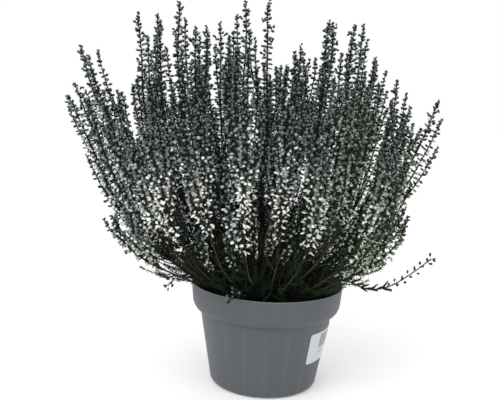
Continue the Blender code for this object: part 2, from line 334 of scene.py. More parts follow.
class Finish:
    """The nodes of one material."""

    def __init__(self, name, roughness):
        self.material = bpy.data.materials.new(name)
        self.material.use_nodes = True
        self.tree = self.material.node_tree
        self.surface = self.tree.nodes["Principled BSDF"]
        self.surface.inputs["Roughness"].default_value = roughness

    def node(self, kind, settings=None, inputs=None):
        """A node of this type, with its settings made before its sockets are fed."""
        node = self.tree.nodes.new(kind)
        for name, value in (settings or {}).items():
            if name == "stops":
                self.set_stops(node.color_ramp, value)
            else:
                setattr(node, name, value)
        for name, value in (inputs or {}).items():
            self.feed(node.inputs[name], value)
        return node

    def set_stops(self, ramp, stops):
        """Give a ramp its stops, each a place, a colour and how light the colour is there."""
        while len(ramp.elements) < len(stops):
            ramp.elements.new(1.0)
        for element, (place, colour, lightness) in zip(ramp.elements, stops):
            element.position = place
            element.color = (*shaded(colour, lightness), 1.0)

    def feed(self, socket, value):
        """Link a socket, or set it."""
        if isinstance(value, Value):
            value = value.socket
        if isinstance(value, bpy.types.NodeSocket):
            self.tree.links.new(value, socket)
        else:
            socket.default_value = value

    def put(self, **inputs):
        """Feed the surface: base_color goes to Base Color, and so on."""
        for name, value in inputs.items():
            self.feed(self.surface.inputs[name.replace("_", " ").title().replace("Ior", "IOR")], value)

    def maths(self, operation, *inputs):
        """The value that a Math node works out."""
        node = self.node("ShaderNodeMath", {"operation": operation}, dict(enumerate(inputs)))
        return Value(self, node.outputs[0])

    def ramp(self, factor, *stops):
        return self.node("ShaderNodeValToRGB", {"stops": stops}, {0: factor}).outputs[0]

    def mix(self, factor, first, second):
        first = (*first, 1.0) if isinstance(first, tuple) else first
        second = (*second, 1.0) if isinstance(second, tuple) else second
        node = self.node("ShaderNodeMix", {"data_type": "RGBA"}, {0: factor, 6: first, 7: second})
        return node.outputs[2]

    def noise(self, vector, scale, detail=2.0):
        inputs = {"Vector": vector, "Scale": scale, "Detail": detail}
        return Value(self, self.node("ShaderNodeTexNoise", None, inputs).outputs[0])

    def place(self):
        """The point on the piece, in the frame."""
        return self.node("ShaderNodeTexCoord").outputs["Object"]

    def parts_of(self, vector):
        node = self.node("ShaderNodeSeparateXYZ", None, {0: vector})
        return [Value(self, output) for output in node.outputs]

    def smooth(self, value, low, high):
        """0 below low, 1 above high."""
        settings = {"interpolation_type": "SMOOTHSTEP"}
        inputs = {"Value": value, "From Min": low, "From Max": high}
        return Value(self, self.node("ShaderNodeMapRange", settings, inputs).outputs[0])

    def bump(self, height, strength, distance):
        inputs = {"Height": height, "Strength": strength, "Distance": distance}
        self.feed(self.surface.inputs["Normal"], self.node("ShaderNodeBump", None, inputs).outputs[0])


def shaded(colour, amount):
    """The colour made darker or lighter."""
    return tuple(min(1.0, channel * amount) for channel in colour)


def blended(first, second, share):
    """A colour part of the way from the first to the second."""
    return tuple(a + (b - a) * share for a, b in zip(first, second))


def growth_finish(name, colours, greenness):
    """Stems, leaves and buds, coloured by the growth map alone."""
    finish = Finish(name, 0.62)
    pale = blended(colours.pale_bud, colours.green_bud, greenness)
    dark = blended(colours.dark_bud, shaded(colours.green_bud, 0.10), greenness * 0.7)
    leaf = blended(colours.leaf, GREEN_LEAF, greenness * 0.7)
    stem = blended(colours.stem, GREEN_STEM, greenness * 0.8)
    spot = finish.node("ShaderNodeUVMap", {"uv_map": "OFBake"}).outputs[0]
    along, shade, _ = finish.parts_of(spot)
    on_bud = (along - BUD_BAND[0]) / (BUD_BAND[1] - BUD_BAND[0])
    on_leaf = (along - LEAF_BAND[0]) / (LEAF_BAND[1] - LEAF_BAND[0])
    pale_bud = finish.ramp(
        on_bud, (0.0, leaf, 0.8), (0.14, leaf, 1.6), (0.28, pale, 0.35), (0.44, pale, 0.90),
        (0.78, pale, 1.0), (1.0, pale, 0.85),
    )
    # Young buds: a dark foot, partly calyx green and partly painted shade, then a painted highlight towards
    # the tip
    dark_bud = finish.ramp(
        on_bud, (0.0, leaf, 0.6), (0.30, dark, 0.30), (0.56, dark, 1.0), (0.80, dark, 3.0), (1.0, dark, 2.0))
    bud = finish.mix(finish.smooth(shade, 0.24, 0.86), dark_bud, pale_bud)
    dark_leaf = finish.ramp(on_leaf, (0.0, leaf, 0.4), (0.7, leaf, 1.0), (1.0, leaf, 1.5))
    pale_leaf = finish.ramp(on_leaf, (0.0, leaf, 0.8), (0.6, leaf, 3.6), (1.0, leaf, 8.0))
    leaf_colour = finish.mix(shade, dark_leaf, pale_leaf)
    grain = finish.noise(spot, 90.0, 3.0)
    bark = finish.mix(shade, shaded(stem, 0.16), stem)
    bark = finish.mix(finish.smooth(grain, 0.42, 0.62) * 0.5, bark, DRY_BARK)
    colour = finish.mix(along > (STEM_BAND[1] + LEAF_BAND[0]) / 2, bark, leaf_colour)
    colour = finish.mix(along > (LEAF_BAND[1] + BUD_BAND[0]) / 2, colour, bud)
    finish.put(base_color=colour, roughness=0.55 + 0.2 * grain, specular_ior_level=0.05)
    finish.bump(grain, 0.25, 0.2 * MM)
    return finish.material


def pot_finish(colours, sizes):
    """Satin plastic: faint ribs down the wall with painted highlights, fine grain and a painted lip
    highlight.
    """
    finish = Finish("pot_plastic", 0.42)
    place = finish.place()
    across, back, up = finish.parts_of(place)
    base = tuple(colours.pot)
    bands = 19.0
    lip = 0.5 * MM
    angle = finish.maths("ARCTAN2", back, across)
    wave = finish.maths("SINE", angle * bands)
    band = finish.smooth(wave, 0.55, 1.0) * (up < sizes.collar_bottom - 2 * MM)
    ring = finish.node("ShaderNodeCombineXYZ", None, {0: angle * 1.2, 1: up * 3.0, 2: 0.0}).outputs[0]
    drawn = finish.noise(ring, 7.0, 3.0)
    grain = finish.noise(place, 900.0)
    cloud = finish.noise(place, 28.0, 3.0)
    colour = finish.mix(finish.smooth(drawn, 0.35, 0.7), shaded(base, 0.97), shaded(base, 1.03))
    colour = finish.mix(finish.smooth(cloud, 0.45, 0.75) * 0.4, colour, shaded(base, 0.92))
    # The ribs' painted highlight; the ribs themselves are in the bump below
    colour = finish.mix(band * 0.5, colour, shaded(base, 1.16))
    colour = finish.mix(finish.smooth(grain, 0.3, 0.8) * 0.3, colour, shaded(base, 0.86))
    # A painted highlight along the top of the lip
    colour = finish.mix(up > sizes.height - lip, colour, shaded(base, 2.2))
    finish.put(base_color=colour, roughness=0.40 + 0.12 * cloud + 0.06 * grain, specular_ior_level=0.4)
    finish.bump(band * 0.5 + grain * 0.08, 0.10, 0.4 * MM)
    return finish.material


def soil_finish(colours, name, lightness):
    """Dark peat with paler fibres."""
    finish = Finish(name, 0.95)
    place = finish.place()
    base = shaded(colours.soil, lightness)
    lump = finish.noise(place, 260.0, 4.0)
    fibre = finish.noise(place, 1400.0)
    colour = finish.mix(finish.smooth(lump, 0.4, 0.7), shaded(base, 0.6), shaded(base, 1.7))
    colour = finish.mix(finish.smooth(fibre, 0.64, 0.74), colour, DRY_FIBRE)
    finish.put(base_color=colour)
    finish.bump(lump + fibre * 0.4, 0.7, 0.8 * MM)
    return finish.material


def label_finish(colours, sizes):
    """White film with one plain grey block and a band under it, and nothing written on it."""
    finish = Finish("label_film", 0.35)
    place = finish.place()
    across, back, up = finish.parts_of(place)
    run = (finish.maths("ARCTAN2", back, across) - sizes.turn) * ((LABEL_HIGH.x + LABEL_LOW.x) / 2)
    rise = up - sizes.middle

    def within(left, right, low, high):
        return (run > left) * (run < right) * (rise > low) * (rise < high)

    block = within(*LABEL_BLOCK)
    band = within(*LABEL_BAND)
    speck = finish.noise(place, 500.0)
    film = finish.mix(finish.smooth(speck, 0.3, 0.8), shaded(colours.label, 0.97), tuple(colours.label))
    film = finish.mix(block, film, shaded(colours.label, 0.42))
    film = finish.mix(band, film, shaded(colours.label, 0.62))
    finish.put(base_color=film, roughness=0.3 + 0.12 * speck)
    finish.bump(speck, 0.05, 0.1 * MM)
    return finish.material


def floor_finish(colours):
    """A pale, even studio floor."""
    finish = Finish("studio_floor", 0.85)
    cloud = finish.noise(finish.place(), 3.0)
    colour = finish.mix(cloud, shaded(colours.floor, 0.99), tuple(colours.floor))
    finish.put(base_color=colour, emission_color=(1.0, 1.0, 1.0, 1.0), emission_strength=0.14)
    return finish.material


def object_from(mesh, name, material):
    """A new object in the scene's own collection."""
    item = bpy.data.objects.new(name, mesh)
    bpy.context.scene.collection.objects.link(item)
    mesh.materials.append(material)
    return item


def object_of(bm, name, material):
    """A new object from a finished bmesh, which is freed."""
    mesh = bpy.data.meshes.new(name)
    bm.to_mesh(mesh)
    bm.free()
    return object_from(mesh, name, material)


def dress(item, slot, *nodes):
    """Tie a finished piece to the plant's one body and hide the nodes that it stands for; the slot is not
    used.
    """
    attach(item, BODY)
    if nodes:
        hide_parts(*nodes)


def unit(vectors):
    """Vectors of length 1."""
    return vectors / np.maximum(np.linalg.norm(vectors, axis=-1, keepdims=True), 1e-12)


class Route:
    """A line through space, read by the length along it."""

    def __init__(self, points):
        self.points = np.asarray(points, float)
        steps = np.linalg.norm(np.diff(self.points, axis=0), axis=1)
        self.marks = np.concatenate([[0.0], np.cumsum(steps)])
        self.length = self.marks[-1]

    def at(self, lengths):
        """The points at these lengths."""
        return np.stack([np.interp(lengths, self.marks, self.points[:, i]) for i in range(3)], axis=-1)

    def frames(self, lengths):
        """Points, and the directions along the line, to its side and out from it."""
        lengths = np.atleast_1d(np.asarray(lengths, float))
        reach = min(1.5 * MM, self.length / 4)
        ahead = self.at(np.minimum(lengths + reach, self.length))
        behind = self.at(np.maximum(lengths - reach, 0))
        along = unit(ahead - behind)
        run = self.points[-1] - self.points[0]
        flat = np.array([-run[1], run[0], 0.0])
        flat = unit(flat) if np.linalg.norm(flat) > MM else np.array([0.0, 1.0, 0.0])
        side = unit(flat - along * (along @ flat)[:, None])
        return self.at(lengths), along, side, np.cross(along, side)


def between(value, low, high, first, last):
    """The value's place between low and high, carried over to first and last."""
    return first + (last - first) * np.clip((value - low) / (high - low), 0.0, 1.0)


def spray_bend(tip):
    """How much of its way a spray goes straight, how sharply it bends up, and how much sooner it rises."""
    reach = math.hypot(tip[0] - LEAN_MIDDLE, tip[1])
    lean = reach / (tip[2] - SOIL_HIGH.z)
    if tip[2] < LOW_TIP:
        return 0.0, LOW_BEND + between(lean, LOW_LEAN, LOW_LEAN + 1, 0, LOW_EXTRA_BEND), LOW_LIFT
    straight = between(reach, NEAR_TIP, FAR_TIP, NEAR_STRAIGHT, FAR_STRAIGHT)
    bend = between(lean, UPRIGHT_LEAN, STEEP_LEAN, UPRIGHT_BEND, STEEP_BEND)
    return straight, bend, between(lean, UPRIGHT_LEAN, STEEP_LEAN, 0, STEEP_LIFT)


def spray_route(tip):
    """The line of a spray, by the same rule as its solid."""
    share = LOW_CROWN_SHARE if tip[2] < LOW_TIP else CROWN_SHARE
    start = np.array([
        CROWN_SHIFT + share * (tip[0] - CROWN_MIDDLE), share * tip[1], SOIL_HIGH.z + STEM_FOOT,
    ])
    straight, bend, lift = spray_bend(tip)
    u = np.linspace(0, 1, 121)
    out = (straight * u + (1 - straight) * (1 - (1 - u) ** bend))[:, None]
    up = (u + lift * u * (1 - u))[:, None]
    points = start + (tip - start) * np.hstack([out, out, up])
    foot = start - np.array([0, 0, STEM_DEPTH])
    return Route(np.vstack([foot, points]))


def shoot_route(corners):
    """A smooth line through a low shoot's corners, by the same rule as its solid."""
    corners = np.array(corners, float) * MM
    ends = np.vstack([2 * corners[0] - corners[1], corners, 2 * corners[-1] - corners[-2]])
    t = np.linspace(0, 1, 21)[:-1, None]
    runs = []
    for before, first, second, after in zip(ends, ends[1:], ends[2:], ends[3:]):
        runs.append(0.5 * (
            2 * first + (second - before) * t
            + (2 * before - 5 * first + 4 * second - after) * t ** 2
            + (3 * first - before - 3 * second + after) * t ** 3
        ))
    foot = corners[:1] - np.array([[0, 0, STEM_DEPTH]])
    return Route(np.vstack([foot, *runs, corners[-1:]]))


def side_route(route, start, end, away, reach):
    """A side branch that leaves the route at start and runs beside it up to end, this far out."""
    u = np.linspace(0, 1, 26)
    spine = route.at(start + (end - start) * u)
    out = reach * (1 - (1 - u) ** 2.2)
    return Route(spine + away * out[:, None])


def drop_shape(rings, sides, curl):
    """A closed drop of unit length up +Z: rings are (height, radius), with a point at each end."""
    corners, places, turns = [(0.0, 0.0, 0.0)], [0.0], [0.0]
    for height, radius in rings:
        for i in range(sides):
            angle = math.tau * i / sides
            corners.append((radius * math.cos(angle), radius * math.sin(angle) + curl * height ** 2, height))
            places.append(height)
            turns.append(math.cos(angle))
    corners.append((0.0, curl, 1.0))
    places.append(1.0)
    turns.append(0.0)
    faces = []
    top = len(corners) - 1
    last = top - sides
    for i in range(sides):
        j = (i + 1) % sides
        faces.append((0, 1 + j, 1 + i))
        for ring in range(len(rings) - 1):
            a, b = 1 + ring * sides + i, 1 + ring * sides + j
            faces += [(a, b, b + sides), (a, b + sides, a + sides)]
        faces.append((last + i, last + j, top))
    return np.array(corners), np.array(faces), np.array(places), np.array(turns)


def scale_shape(flat):
    """A closed three-sided scale of unit length up +Z: wide at its foot, flat, and drawn to a point."""
    angles = math.tau * np.arange(3) / 3
    foot = np.stack([0.5 * np.cos(angles), 0.5 * flat * np.sin(angles), 0 * angles], axis=-1)
    corners = np.vstack([foot, [[0.0, 0.0, 1.0]]])
    faces = np.array([(0, 2, 1), (0, 1, 3), (1, 2, 3), (2, 0, 3)])
    return corners, faces, corners[:, 2], np.append(np.cos(angles), 0.0)


BUD_SHAPE = drop_shape(((0.34, 0.36), (0.68, 0.44)), 5, curl=0.10)
YOUNG_SHAPE = drop_shape(((0.32, 0.40), (0.72, 0.48)), 4, curl=0.0)
LEAF_SHAPE = scale_shape(0.6)


def stepped(start, end, step, last_step, run):
    """Lengths from start to end, with steps that shorten over the last run."""
    lengths = []
    place = start
    while place < end:
        lengths.append(place)
        share = min(1.0, (end - place) / run)
        place += last_step + (step - last_step) * share
    return np.array(lengths)


def in_pot(points):
    """Whether a twig keeps clear of the pot: inside it up to the rim, and above the soil."""
    reach = np.where(points[:, 2] < POT_HIGH.z + 3 * MM, POT_HIGH.x - 5 * MM, 1.0)
    inside = (np.hypot(points[:, 0], points[:, 1]) < reach).all()
    return inside and points[:, 2].min() > SOIL_HIGH.z + 0.5 * MM


class Growth:
    """Collects the stems, leaves and buds of one piece, with random draws of its own."""

    def __init__(self, sizes, seed):
        self.sizes = sizes
        self.rng = np.random.default_rng(sizes.seed + seed)
        self.corners, self.faces, self.spots = [], [], []
        self.count = 0

    def add(self, corners, faces, spots):
        self.corners.append(corners)
        self.faces.append(faces + self.count)
        self.spots.append(spots)
        self.count += len(corners)

    def stem(self, route, radii, sides, shade, short=0.0):
        """A stem along the route, closed at both ends, which may stop short of the route's end."""
        rows = len(radii)
        middle, _, side, out = route.frames(np.linspace(0, route.length - short, rows))
        angles = math.tau * np.arange(sides) / sides
        ring = np.cos(angles)[:, None] * side[:, None] + np.sin(angles)[:, None] * out[:, None]
        corners = (middle[:, None] + radii[:, None, None] * ring).reshape(-1, 3)
        a = np.arange(rows - 1)[:, None] * sides + np.arange(sides)
        b = np.arange(rows - 1)[:, None] * sides + (np.arange(sides) + 1) % sides
        faces = np.concatenate([
            np.stack([a, b, b + sides], axis=-1).reshape(-1, 3),
            np.stack([a, b + sides, a + sides], axis=-1).reshape(-1, 3),
        ])
        along = np.repeat(np.linspace(STEM_BAND[0], STEM_BAND[1], rows), sides)
        shade = np.broadcast_to(shade, rows)
        across = (shade[:, None] + SHADE_SPREAD * np.cos(angles)).ravel()
        tip = len(corners)
        corners = np.vstack([corners, middle[:1], middle[-1:]])
        ends = [(tip, (i + 1) % sides, i) for i in range(sides)]
        last = (rows - 1) * sides
        ends += [(tip + 1, last + i, last + (i + 1) % sides) for i in range(sides)]
        spots = np.vstack([
            np.stack([along, across], axis=-1), [[STEM_BAND[0], shade[0]]], [[STEM_BAND[1], shade[-1]]],
        ])
        self.add(corners, np.vstack([faces, ends]), spots)

    def stamp(self, shape, band, base, heading, length, width, roll, shade):
        """Put a copy of the shape at each base, pointing along its heading."""
        corners, faces, places, turns = shape
        heading = unit(heading)
        guide = np.where(np.abs(heading[:, 2:3]) < 0.9, [[0.0, 0.0, 1.0]], [[1.0, 0.0, 0.0]])
        side = unit(np.cross(guide, heading))
        out = np.cross(heading, side)
        cos, sin = np.cos(roll)[:, None], np.sin(roll)[:, None]
        side, out = cos * side + sin * out, cos * out - sin * side
        placed = base[:, None] + width[:, None, None] * (
            corners[None, :, :1] * side[:, None] + corners[None, :, 1:2] * out[:, None]
        ) + (length[:, None] * corners[None, :, 2])[..., None] * heading[:, None]
        count, size = len(base), len(corners)
        steps = (np.arange(count) * size)[:, None, None]
        along = np.broadcast_to(band[0] + (band[1] - band[0]) * places, (count, size))
        across = np.clip(shade, 0.01, 0.99)[:, None] + SHADE_SPREAD * turns[None]
        self.add(
            placed.reshape(-1, 3), (faces[None] + steps).reshape(-1, 3),
            np.stack([along, across], axis=-1).reshape(-1, 2),
        )

    def stalks(self, base, heading, length, width, roll, shade):
        """Thin stalks in the colours of a leaf."""
        count = len(base)
        self.stamp(
            LEAF_SHAPE, LEAF_BAND, base, heading, np.broadcast_to(length, count), np.full(count, width),
            np.broadcast_to(roll, count), np.full(count, shade),
        )

    def whorls(self, route, lengths, spread):
        """The points of copies round the stem at these lengths, and the ways along it and away from it."""
        middle, along, side, out = route.frames(lengths)
        rows = len(lengths)
        turn = (
            math.tau * np.arange(spread)[None] / spread + math.pi / spread * np.arange(rows)[:, None]
            + self.rng.normal(0, 0.22, (rows, spread))
        )
        away = np.cos(turn)[..., None] * side[:, None] + np.sin(turn)[..., None] * out[:, None]
        shape = (rows, spread, 3)
        return (
            np.broadcast_to(middle[:, None], shape).reshape(-1, 3),
            np.broadcast_to(along[:, None], shape).reshape(-1, 3),
            away.reshape(-1, 3),
        )

    def wandering(self, route, sway):
        """The same line with the small bends of a grown stem, but for its ends."""
        marks = np.linspace(0, route.length, 90)
        middle, _, side, out = route.frames(marks)
        calm = np.clip(marks / (30 * MM), 0, 1)
        bends = []
        for _ in range(2):
            phase = self.rng.uniform(0, math.tau, 2)
            wave = np.sin(marks / (11 * MM) + phase[0]) * 0.4 + np.sin(marks / (27 * MM) + phase[1])
            bends.append(wave * calm * np.clip((route.length - marks) / (10 * MM), 0, 1))
        return Route(middle + sway * (bends[0][:, None] * side + bends[1][:, None] * out))

    def across(self, route, length, outward):
        """A direction across the route: mostly away from the plant's middle, or mostly not away from it."""
        point, _, side, out = (part[0] for part in route.frames([length]))
        turn = self.rng.uniform(0, math.tau)
        away = math.cos(turn) * side + math.sin(turn) * out
        from_middle = unit(np.array([point[0] - CROWN_SHIFT, point[1], 0.0]))
        share = away @ from_middle
        if outward and share < 0 and self.rng.uniform() < 0.6:
            return -away
        return -away if not outward and share > 0.1 and self.rng.uniform() < 0.7 else away

    def leaves(self, route, start, end, scale=1.0, shade=0.3, spread=3, step=None):
        """Scale leaves in whorls that stand out from the stem and lean along it."""
        if end <= start:
            return
        sizes, rng = self.sizes, self.rng
        step = step or sizes.leaf_step
        middle, along, away = self.whorls(route, stepped(start, end, step, step * 0.7, 10 * MM), spread)
        count = len(middle)
        tilt = rng.uniform(0.5, 1.0, count)[:, None]
        heading = along * np.cos(tilt) + away * np.sin(tilt)
        self.stamp(
            LEAF_SHAPE, LEAF_BAND, middle + away * sizes.stem_tip * 0.6, heading,
            sizes.leaf_length * scale * rng.uniform(0.8, 1.2, count),
            sizes.leaf_width * scale * rng.uniform(0.8, 1.1, count),
            rng.uniform(-0.3, 0.3, count), shade + rng.normal(0, 0.16, count),
        )

    def paleness(self, place, to_tip):
        """How pale buds are: most where full, low and in the open, least at tips, with painted shade inside.
        """
        full = between(place[:, 2], 120 * MM, 220 * MM, 45 * MM, 90 * MM)
        low = np.clip((to_tip - 6 * MM) / full, 0, 1)
        high = np.clip((PALE_TOP - place[:, 2]) / PALE_RUN, 0, 1)
        # Painted shade: buds nearer the plant's middle than its edge are made darker
        edge = np.clip(PLANT_FOOT + PLANT_GAIN * (place[:, 2] - SOIL_HIGH.z), PLANT_FOOT, PLANT_EDGE)
        out_of_painted_shade = np.hypot(place[:, 0] - CROWN_MIDDLE, place[:, 1]) / edge
        out_of_painted_shade = np.clip((out_of_painted_shade - SHADED_SHARE) / OPEN_RUN, 0, 1)
        chance = self.rng.normal(0, 0.20, len(place))
        return 0.04 + (0.28 + 0.66 * out_of_painted_shade) * low ** 0.8 * (0.28 + 0.72 * high) + chance

    def buds(self, route, start, scale=1.0):
        """Whorls of buds from start to the tip: full and drooping low down, small and upright at the tip."""
        sizes, rng = self.sizes, self.rng
        lengths = stepped(start, route.length - 1.0 * MM, sizes.bud_step, 1.8 * MM, 14 * MM)
        middle, along, away = self.whorls(route, lengths, BUDS_ROUND)
        count = len(middle)
        to_tip = np.repeat(route.length - lengths, BUDS_ROUND)
        grown = np.clip(to_tip / FULL_RUN, 0.0, 1.0)
        keep = rng.uniform(size=count) < 0.95 - 0.17 * grown
        tilt = between(to_tip, 0, OPENING_RUN, 0.5, 1.3) + 0.3 * grown + rng.normal(0, 0.22, count)
        heading = along * np.cos(tilt)[:, None] + away * np.sin(tilt)[:, None]
        heading[:, 2] -= 0.30 * grown * np.clip((to_tip - DROOP_START) / DROOP_RUN, 0, 1)
        young = np.repeat(between(lengths, start, start + FIRST_RUN, FIRST_SIZE, 1.0), BUDS_ROUND)
        tip = between(to_tip, 0, TIP_RUN, TIP_SIZE, 1.0)
        length = sizes.bud_length * scale * young * tip * (YOUNG_LENGTH + LENGTH_GAIN * grown)
        length = length * rng.uniform(0.84, 1.14, count)
        width = sizes.bud_width * scale * young * tip * (YOUNG_WIDTH - WIDTH_LOSS * grown)
        width = width * rng.uniform(0.84, 1.12, count)
        base = middle + away * (sizes.stem_tip * 0.8) + along * rng.normal(0, 0.7 * MM, count)[:, None]
        shade = self.paleness(base, to_tip) * young
        roll = rng.uniform(0, math.tau, count)
        full = grown >= FULL_SHAPE_SHARE
        for shape, chosen in ((BUD_SHAPE, keep & full), (YOUNG_SHAPE, keep & ~full)):
            self.stamp(
                shape, BUD_BAND, base[chosen], heading[chosen], length[chosen], width[chosen], roll[chosen],
                shade[chosen],
            )

    def clusters(self, route):
        """Short stalks with a few young buds each, which make the upper spike lumpy."""
        sizes, rng = self.sizes, self.rng
        start = route.length - min(CLUSTER_RUN, route.length * 0.6)
        lengths = np.arange(start, route.length - 6 * MM, CLUSTER_STEP)
        if len(lengths) == 0:
            return
        lengths = lengths + rng.normal(0, 1.2 * MM, len(lengths))
        middle, along, side, out = route.frames(lengths)
        turn = rng.uniform(0, math.tau, len(lengths))
        away = np.cos(turn)[:, None] * side + np.sin(turn)[:, None] * out
        stalk = unit(along * 0.7 + away) * (rng.uniform(3.0, 6.0, len(lengths)) * MM)[:, None]
        count = len(lengths) * CLUSTER_BUDS
        share = np.tile(np.linspace(0.55, 1.0, CLUSTER_BUDS), len(lengths))[:, None]
        base = np.repeat(middle, CLUSTER_BUDS, axis=0) + np.repeat(stalk, CLUSTER_BUDS, axis=0) * share
        heading = np.repeat(unit(stalk), CLUSTER_BUDS, axis=0) + rng.normal(0, 0.6, (count, 3))
        self.stalks(middle, stalk, np.linalg.norm(stalk, axis=1), 0.7 * MM, turn, 0.25)
        self.stamp(
            YOUNG_SHAPE, BUD_BAND, base, heading, sizes.bud_length * 0.52 * rng.uniform(0.8, 1.2, count),
            sizes.bud_width * 1.3 * rng.uniform(0.85, 1.15, count), rng.uniform(0, math.tau, count),
            self.paleness(base, np.repeat(route.length - lengths, CLUSTER_BUDS)),
        )

    def twigs(self, route, first, last, count):
        """Leafy twigs low on the stem, which bend up beside it."""
        rng = self.rng
        for place in np.linspace(first, last, count) + rng.normal(0, 1.5 * MM, count):
            end = min(place + rng.uniform(14, 34) * MM, route.length * 0.8)
            away = self.across(route, place, outward=True)
            twig = side_route(route, place, end, away, rng.uniform(6, 14) * MM)
            if in_pot(twig.points):
                self.stem(twig, np.linspace(0.42, 0.2, 6) * MM, 3, rng.uniform(0.3, 0.9))
                self.leaves(twig, 2.5 * MM, twig.length, shade=rng.uniform(0.2, 0.9))

    def spikes(self, route, leafy, lean, low):
        """Side spikes of buds, which leave the stem near its first buds and run up beside it."""
        rng = self.rng
        for _ in range(rng.integers(self.sizes.side_spikes - 1, self.sizes.side_spikes + 1)):
            start = leafy + (route.length - leafy) * rng.uniform(-0.04, 0.45)
            end = min(start + rng.uniform(48, 105) * MM, route.length - 14 * MM)
            away = self.across(route, start, lean < OUTWARD_LEAN)
            away = unit(away + np.array([0, 0, 1.1 if low else 0.5]))
            reach = rng.uniform(12, 26) if low else rng.uniform(8, 20)
            spike = self.wandering(side_route(route, start, end, away, reach * MM), 0.7 * MM)
            self.stem(spike, np.linspace(0.95, 0.35, 13) * MM, 4, 0.08, short=0.5 * MM)
            self.leaves(spike, 2 * MM, spike.length, 0.95, 0.12, step=self.sizes.leaf_step * 1.4)
            self.buds(spike, 8 * MM, 0.94)

    def make_piece(self, name, material, slot, *nodes):
        """Make the collected shapes one object, tied to the plant's body, and hide its nodes."""
        corners, faces, spots = (np.concatenate(part) for part in (self.corners, self.faces, self.spots))
        mesh = bpy.data.meshes.new(name)
        mesh.vertices.add(len(corners))
        mesh.vertices.foreach_set("co", corners.astype(np.float32).ravel())
        mesh.loops.add(faces.size)
        mesh.loops.foreach_set("vertex_index", faces.astype(np.int32).ravel())
        mesh.polygons.add(len(faces))
        mesh.polygons.foreach_set("loop_start", np.arange(0, faces.size, 3, dtype=np.int32))
        mesh.update(calc_edges=True)
        layer = mesh.uv_layers.new(name="OFBake")
        layer.data.foreach_set("uv", spots[faces.ravel()].astype(np.float32).ravel())
        mesh.shade_smooth()
        dress(object_from(mesh, name, material), slot, *nodes)


def grow_spray(growth, route):
    """One spray: its stem, its leafy foot, its spike of buds and its side spikes."""
    sizes, rng = growth.sizes, growth.rng
    tip = route.points[-1]
    low = tip[2] < LOW_TIP
    lean = abs(tip[0] - LEAN_MIDDLE) / (tip[2] - SOIL_HIGH.z)
    route = growth.wandering(route, 1.1 * MM)
    rings = np.linspace(0, route.length - 0.5 * MM, 44)
    radii = sizes.stem_radius + (sizes.stem_tip - sizes.stem_radius) * np.sqrt(rings / route.length)
    start = between(lean, 0.45, 1.3, sizes.bud_start, sizes.low_bud_start) * rng.uniform(0.85, 1.15)
    leafy = float(np.interp(SOIL_HIGH.z + start, route.points[:, 2], route.marks))
    core = between(rings, leafy * 0.8, leafy * 1.2, 0, 1)
    core = core * between(rings, route.length * 0.6, route.length, 1, 0)
    radii += core * sizes.leafy_core
    shade = rng.uniform(0.35, 0.8) * between(rings, leafy * 0.6, leafy, 1.0, 0.1)
    growth.stem(route, radii, 5, shade, short=0.5 * MM)
    growth.twigs(route, 8 * MM, leafy + 12 * MM, sizes.twigs)
    growth.leaves(route, 8 * MM, leafy, 0.9)
    growth.leaves(route, leafy, route.length - 3 * MM, 0.9, 0.12, spread=4)
    growth.buds(route, leafy)
    growth.clusters(route)
    growth.spikes(route, leafy, lean, low)


def grow_shoot(growth, route):
    """A low shoot: a dark stem with short leafy twiglets that lean along it, then small buds on stalks."""
    sizes, rng = growth.sizes, growth.rng
    growth.stem(route, np.linspace(0.8, 0.35, 30) * MM, 5, 0.15, short=0.5 * MM)
    leafy = route.length * 0.6
    growth.leaves(route, 8 * MM, route.length, 0.8, 0.12)
    middle, along, away = growth.whorls(route, np.arange(14 * MM, leafy, 4.6 * MM), 3)
    for point, heading in zip(middle, unit(along + away * 0.8)):
        if heading[2] >= -0.35:
            twiglet = Route(point + heading * np.linspace(0, rng.uniform(5.5, 9) * MM, 4)[:, None])
            growth.stem(twiglet, np.array([0.4, 0.95, 0.9, 0.25]) * MM, 4, 0.12)
            growth.leaves(twiglet, 1 * MM, twiglet.length, 0.7, 0.15, step=1.5 * MM)
    end = Route(route.at(np.linspace(leafy, route.length, 24)))
    lengths = stepped(0, end.length - 2 * MM, 6.5 * MM, 3.2 * MM, 12 * MM)
    middle, along, away = growth.whorls(end, lengths, BUDS_ROUND)
    count = len(middle)
    stalk = unit(along * 0.8 + away) * (3.0 * MM)
    growth.stalks(middle, stalk, 3.0 * MM, 0.6 * MM, 0.0, 0.2)
    growth.stamp(
        YOUNG_SHAPE, BUD_BAND, middle + stalk * 0.8, stalk + along * 0.4 * MM,
        sizes.bud_length * 0.58 * rng.uniform(0.85, 1.15, count),
        sizes.bud_width * 1.25 * rng.uniform(0.9, 1.1, count),
        rng.uniform(0, math.tau, count), rng.uniform(0.0, 0.3, count),
    )


def grow_undergrowth(growth):
    """Short leafy branches that spread from the crown over the soil and bend up before the rim."""
    sizes, rng = growth.sizes, growth.rng
    for number in range(sizes.undergrowth):
        turn = math.tau * (number + rng.uniform(-0.3, 0.3)) / sizes.undergrowth
        outward = np.array([math.cos(turn), math.sin(turn), 0.0])
        root = np.array([CROWN_SHIFT, 0, SOIL_HIGH.z - STEM_DEPTH * 0.5])
        root = root + outward * rng.uniform(16, 30) * MM
        reach, rise = rng.uniform(16, 30) * MM, rng.uniform(14, 38) * MM
        u = np.linspace(0, 1, 24)[:, None]
        line = root + outward * reach * np.sin(u * math.pi / 2)
        line = line + np.array([0, 0, rise]) * (0.35 * u + 0.65 * u ** 2)
        line[:, 2] += 3 * MM * np.sin(u[:, 0] * math.pi)
        if in_pot(line[8:]):
            branch = Route(line)
            growth.stem(branch, np.linspace(0.7, 0.3, 10) * MM, 4, rng.uniform(0.4, 1))
            growth.leaves(branch, 8 * MM, branch.length, step=sizes.leaf_step * 1.3)
            growth.twigs(branch, 8 * MM, branch.length * 0.75, 7)


